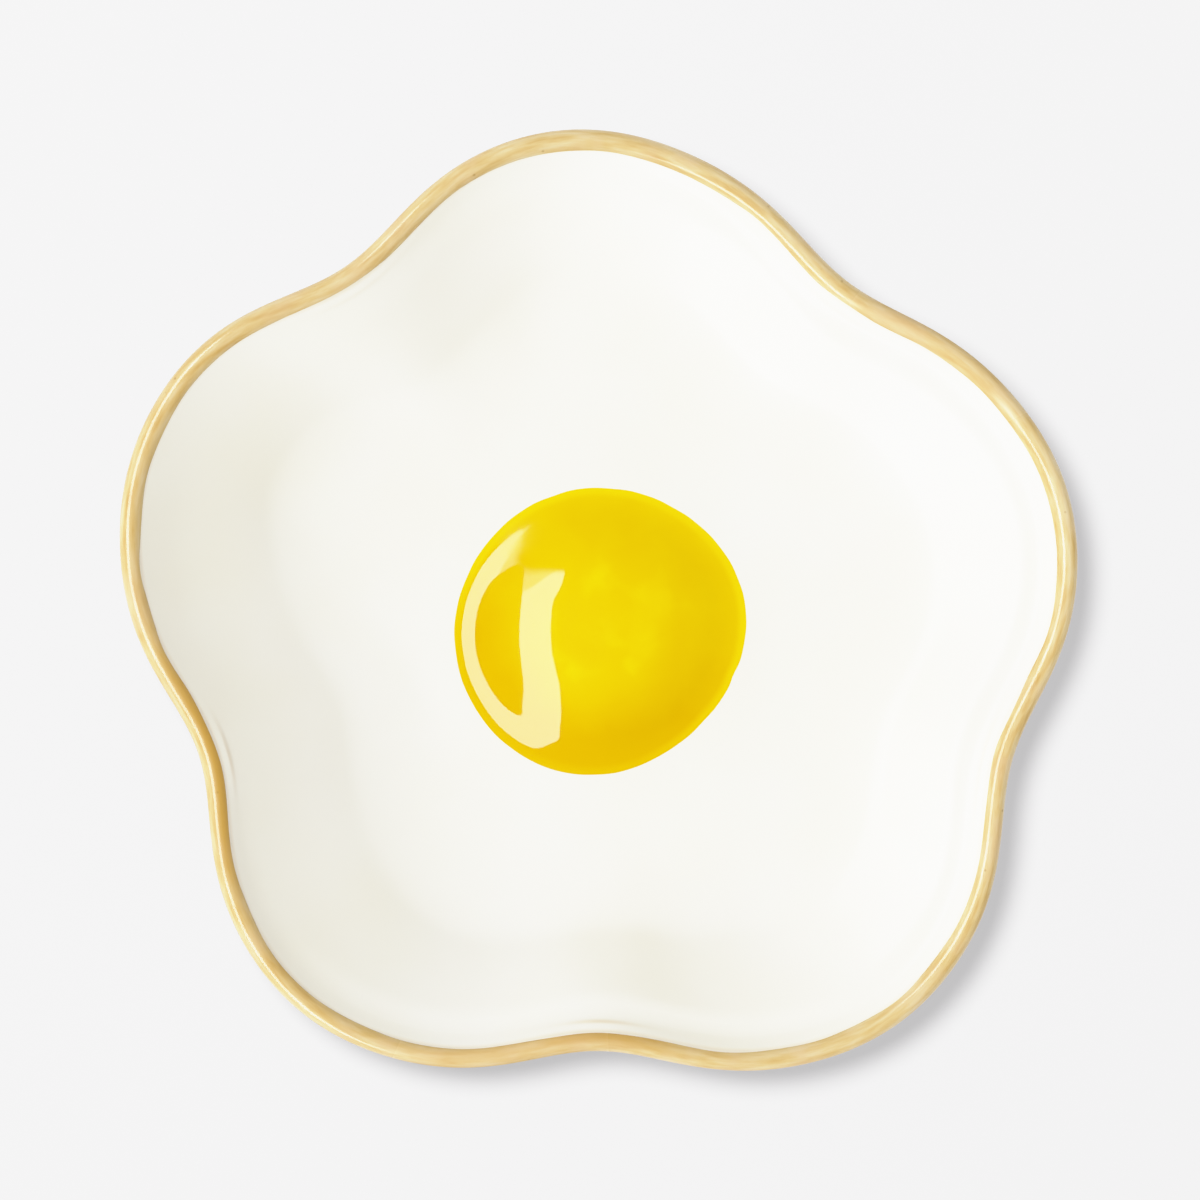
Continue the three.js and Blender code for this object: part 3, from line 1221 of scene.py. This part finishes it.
@dataclass(frozen=True)
class FilmShoulder:
    """A camera's soft highlights: straight up to the knee, then bending over towards the top.

    Above the knee k, x becomes k + (top - k) * (1 - exp(-(x - k) / (top - k))).
    """

    knee: float = 0.75
    top: float = 0.985
    brightest: float = 3.0
    bends: tuple[float, ...] = (0.8, 0.86, 0.93, 1.0, 1.1, 1.2, 1.35, 1.5, 1.75, 2.0, 2.5)

    def shown(self, light: float) -> float:
        """Bends some light over.

        Args:
            light: How bright it is.

        Returns:
            How bright it is shown.
        """
        if light <= self.knee:
            return light
        room = self.top - self.knee
        return self.knee + room * (1 - math.exp(-(light - self.knee) / room))

    def light_for(self, shown: float) -> float:
        """Runs the curve the other way.

        Args:
            shown: How bright some light is to be shown.

        Returns:
            How bright it has to be.
        """
        if shown <= self.knee:
            return shown
        room = self.top - self.knee
        return self.knee - room * math.log(1 - (shown - self.knee) / room)

    def load(self) -> None:
        """Puts the curve in the scene's view settings, with the brightest light at its end."""
        view = bpy.context.scene.view_settings
        view.view_transform = "Standard"
        view.use_curve_mapping = True
        mapping = view.curve_mapping
        mapping.white_level = (self.brightest,) * 3
        points = mapping.curves[3].points
        points[-1].location = (1.0, self.shown(self.brightest))
        for light in (self.knee, *self.bends):
            points.new(light / self.brightest, self.shown(light))
        for point in points:
            point.handle_type = "VECTOR"
        mapping.update()


@dataclass
class Studio:
    """A plain pale paper floor, soft daylight, and a camera that looks straight down.

    The field and the camera's shift are in mm, and other distances in metres. An azimuth is in
    degrees counterclockwise from +X.
    """

    shape: EggShape
    film: FilmShoulder = FilmShoulder()
    camera_height: float = 1.5
    camera_shift: Pair = (0.28, 0.0)
    camera_clip: Pair = (0.05, 20.0)
    sensor_width: float = 36.0
    field_width: float = 225.6
    paper_reach: float = 3.0
    paper_lit: str = "#F5F5F5"
    paper_shade: str = "#C4C3C4"
    paper_albedo: float = 0.03
    shadow_tilt: float = 13.3
    shadow_azimuth: float = 141.0
    shadow_softness: float = 16.0
    shadow_lamp_distance: float = 1.6
    window_colour: Triple = (0.93, 0.945, 0.90)
    window_azimuth: float = 198.0
    window_elevation: float = 38.0
    window_softness: float = 60.0
    rim_window_elevation: float = 50.0
    yolk_window_elevation: float = 65.0
    wall_colour: Triple = (0.70, 0.69, 0.67)
    mirrored_walls: str = "#A8A49C"
    mirrored_ceiling: str = "#000000"
    mirrored_heights: Pair = (0.22, 0.42)
    strip_size: Pair = (0.395, 1.86)
    strip_place: Triple = (-0.516, -0.20, 0.6)
    strip_turn: float = 2.5
    strip_colour: Triple = (1.0, 0.93, 1.13)
    strip_radiance: float = 8.2
    white_strip_radiance: float = 1.5
    curtain_skew: float = 0.085
    curtain: Span = (0.930, 0.966, 1.0, 0.0)
    net_skew: float = -0.044
    net: Span = (0.842, 0.857, 1.0, 0.45)

    def camera(self) -> None:
        """Sets the camera over the plate, with field_width across the picture at rim height."""
        data = bpy.data.cameras.new("camera")
        data.sensor_width = self.sensor_width
        data.lens = data.sensor_width * self.camera_height / (self.field_width * MM)
        data.clip_start, data.clip_end = self.camera_clip
        camera = bpy.data.objects.new("camera", data)
        bpy.context.scene.collection.objects.link(camera)
        x, y = self.camera_shift
        camera.location = (x * MM, y * MM, self.camera_height + self.shape.height * MM)
        bpy.context.scene.camera = camera

    def floor(self) -> bpy.types.Object:
        """Lays a wide sheet of pale paper, which glows evenly and takes a little of a lamp's light.

        Returns:
            The paper.
        """
        reach = self.paper_reach
        mesh = bpy.data.meshes.new("paper_floor")
        corners = [(-reach, -reach, 0), (reach, -reach, 0), (reach, reach, 0), (-reach, reach, 0)]
        mesh.from_pydata(corners, [], [(0, 1, 2, 3)])
        floor = bpy.data.objects.new("paper_floor", mesh)
        bpy.context.scene.collection.objects.link(floor)
        # Backdrop paper off a roll: matt, with no grain to see, and even from edge to edge.
        material, tree = new_material("rolled_backdrop_paper")
        from_walls = self.paper_albedo * np.array(self.wall_colour)
        own = np.array([self.film.light_for(c) for c in linear(self.paper_shade)[:3]]) - from_walls
        glow = add_node(tree, "Emission", {"Color": (*own, 1.0), "Strength": 1.0})
        sheet = add_node(tree, "BsdfDiffuse", {"Color": (self.paper_albedo,) * 3 + (1.0,)})
        both = add_node(tree, "AddShader", [glow, sheet])
        add_node(tree, "OutputMaterial", {"Surface": both})
        mesh.materials.append(material)
        return floor

    def lamp(
        self, name: str, use: LightUse, data: bpy.types.Light, place: Triple,
        lit: list[bpy.types.Object],
    ) -> bpy.types.Object:
        """Hangs a lamp, turned towards the plate's middle, that lights only some objects.

        Args:
            name: The lamp's name.
            use: What it is for.
            data: The lamp's own settings.
            place: Where it hangs, in metres.
            lit: The objects that it lights.

        Returns:
            The lamp.
        """
        lamp = bpy.data.objects.new(name, data)
        bpy.context.scene.collection.objects.link(lamp)
        lamp.location = place
        ray = -Vector(place)
        lamp.rotation_euler = ray.to_track_quat("-Z", "Y").to_euler()
        lamp.visible_camera = False
        lamp.visible_diffuse = use is not LightUse.MIRRORED
        lamp.visible_glossy = use is LightUse.MIRRORED
        group = bpy.data.collections.new(name + "_lights")
        for piece in lit:
            group.objects.link(piece)
        lamp.light_linking.receiver_collection = group
        return lamp

    @staticmethod
    def towards(azimuth: float, elevation: float) -> Triple:
        """The direction (cos e cos a, cos e sin a, sin e) of an azimuth a and an elevation e."""
        turn, rise = math.radians(azimuth), math.radians(elevation)
        return math.cos(rise) * math.cos(turn), math.cos(rise) * math.sin(turn), math.sin(rise)

    def window(self, name: str, elevation: float, lit: list[bpy.types.Object]) -> None:
        """Hangs the soft window's far light, which lights the level floor alike from any height.

        Its strength is pi times what a white surface square to it sends back, and that is
        sin(window_elevation) / sin(elevation).

        Args:
            name: The lamp's name.
            elevation: How high it stands, in degrees.
            lit: The objects that it lights.
        """
        data = bpy.data.lights.new(name, "SUN")
        rise = math.sin(math.radians(self.window_elevation)) / math.sin(math.radians(elevation))
        data.energy = math.pi * rise
        data.angle = math.radians(self.window_softness)
        data.color = self.window_colour
        place = self.towards(self.window_azimuth, elevation)
        self.lamp(name, LightUse.FILL, data, place, lit)

    def paper_lamp(self, floor: bpy.types.Object) -> None:
        """Hangs the lamp that throws the plate's shadow on the paper.

        A lamp that sends out P watts gives P / (4 pi distance^2) on a surface square to it. This
        one makes up the difference between the paper in shade and the paper in light.

        Args:
            floor: The paper.
        """
        data = bpy.data.lights.new("paper_lamp", "POINT")
        lit, shade = (self.film.light_for(linear(c)[0]) for c in (self.paper_lit, self.paper_shade))
        elevation, distance = 90 - self.shadow_tilt, self.shadow_lamp_distance
        power = (lit - shade) / (self.paper_albedo * math.sin(math.radians(elevation)))
        data.energy = 4 * math.pi**2 * distance**2 * power
        data.shadow_soft_size = distance * math.tan(math.radians(self.shadow_softness / 2))
        place = tuple(distance * part for part in self.towards(self.shadow_azimuth, elevation))
        self.lamp("paper_lamp", LightUse.SHADOW, data, place, [floor])

    def strip(self, name: str, radiance: float, lit: list[bpy.types.Object]) -> None:
        """Hangs a long soft box to the left of the plate that only shows mirrored in gloss.

        Args:
            name: The lamp's name.
            radiance: How bright its face is.
            lit: The objects that mirror it.
        """
        data = bpy.data.lights.new(name, "AREA")
        data.shape = "RECTANGLE"
        data.size, data.size_y = self.strip_size
        data.energy = math.pi * data.size * data.size_y
        data.use_nodes = True
        tree = data.node_tree
        tree.nodes.clear()
        face = add_node(tree, "NewGeometry")
        parts = add_node(tree, "SeparateXYZ", {"Vector": (face, "Parametric")})
        # A curtain hangs a little askew over the strip's far end, and a net beside it lets some of
        # the light by. Each covers what lies past its edge in skew * X + Y.
        strength = radiance
        for skew, cover in ((self.curtain_skew, self.curtain), (self.net_skew, self.net)):
            along = add_node(tree, "Math", [(parts, "X"), skew, (parts, "Y")],
                             operation="MULTIPLY_ADD")
            let_by = add_node(tree, "MapRange", [along, *cover])
            strength = add_node(tree, "Math", [let_by, strength], operation="MULTIPLY")
        glow = add_node(tree, "Emission", {
            "Color": (*self.strip_colour, 1.0), "Strength": strength,
        })
        add_node(tree, "OutputLight", {"Surface": glow})
        lamp = self.lamp(name, LightUse.MIRRORED, data, self.strip_place, lit)
        lamp.rotation_euler = (0.0, 0.0, math.radians(self.strip_turn))

    def lights(self, floor: bpy.types.Object, pieces: dict[str, bpy.types.Object]) -> None:
        """Hangs the lamps: the paper's own, the soft window and the strip mirrored in the glaze.

        Args:
            floor: The paper floor.
            pieces: The plate's pieces by name.
        """
        self.paper_lamp(floor)
        rim, yolk = pieces["rim_glaze"], pieces["yolk_glaze"]
        white = [pieces["plate_body"], pieces["foot_clay"]]
        # Thick coloured glaze scatters the window's light, so it is lit as if from higher up.
        self.window("window_light", self.window_elevation, white)
        self.window("window_light_on_rim", self.rim_window_elevation, [rim])
        self.window("window_light_on_yolk", self.yolk_window_elevation, [yolk])
        self.strip("window_strip", self.strip_radiance, [rim, yolk])
        self.strip("window_strip_on_white", self.white_strip_radiance, white)

    def sky(self) -> None:
        """Sets the light from all round, which is dark overhead in mirrored rays."""
        world = bpy.data.worlds.new("studio_walls")
        bpy.context.scene.world = world
        world.use_nodes = True
        tree = world.node_tree
        tree.nodes.clear()
        heading = add_node(tree, "TexCoord")
        parts = add_node(tree, "SeparateXYZ", {"Vector": (heading, "Generated")})
        mirrored = add_node(tree, "ValToRGB", {"Fac": (parts, "Z")}, stops=(
            self.mirrored_heights, (self.mirrored_walls, self.mirrored_ceiling),
        ))
        path_kind = add_node(tree, "LightPath")
        light = (*self.wall_colour, 1.0)
        backdrop = (*(self.film.light_for(c) for c in linear(self.paper_lit)[:3]), 1.0)
        for ray, shown in (("Is Glossy Ray", mirrored), ("Is Camera Ray", backdrop)):
            mixed = {"Factor": (path_kind, ray), "A": light, "B": shown}
            light = add_node(tree, "Mix", mixed, data_type="RGBA")
        glow = add_node(tree, "Background", {"Color": light, "Strength": 1.0})
        add_node(tree, "OutputWorld", {"Surface": glow})

    def build(self, pieces: dict[str, bpy.types.Object]) -> None:
        """Sets up the floor, the lights, the walls, the camera and its soft highlights.

        Args:
            pieces: The plate's pieces by name.
        """
        floor = self.floor()
        self.lights(floor, pieces)
        self.sky()
        self.camera()
        self.film.load()


def main() -> None:
    """Builds the plate, piece by piece, and the studio round it."""
    logging.basicConfig(level=logging.INFO, format="%(message)s")
    shape = EggShape()
    builders: list[tuple[Callable[[], bpy.types.Object], str, bpy.types.Material]] = [
        (PlateBody(shape).build, "white_glaze", WhiteGlaze().material()),
        (RimCoat(shape).build, "rim_glaze", TanGlaze().material()),
        (YolkCap(shape).build, "yolk_glaze", YolkGlaze().material()),
        (FootClay(shape).build, "bare_clay", BareClay().material()),
    ]
    pieces = {}
    for build, slot, material in builders:
        piece = build()
        fit_to_body(piece, slot, material)
        pieces[piece.name] = piece
    Studio(shape).build(pieces)


if __name__ == "__main__":
    main()
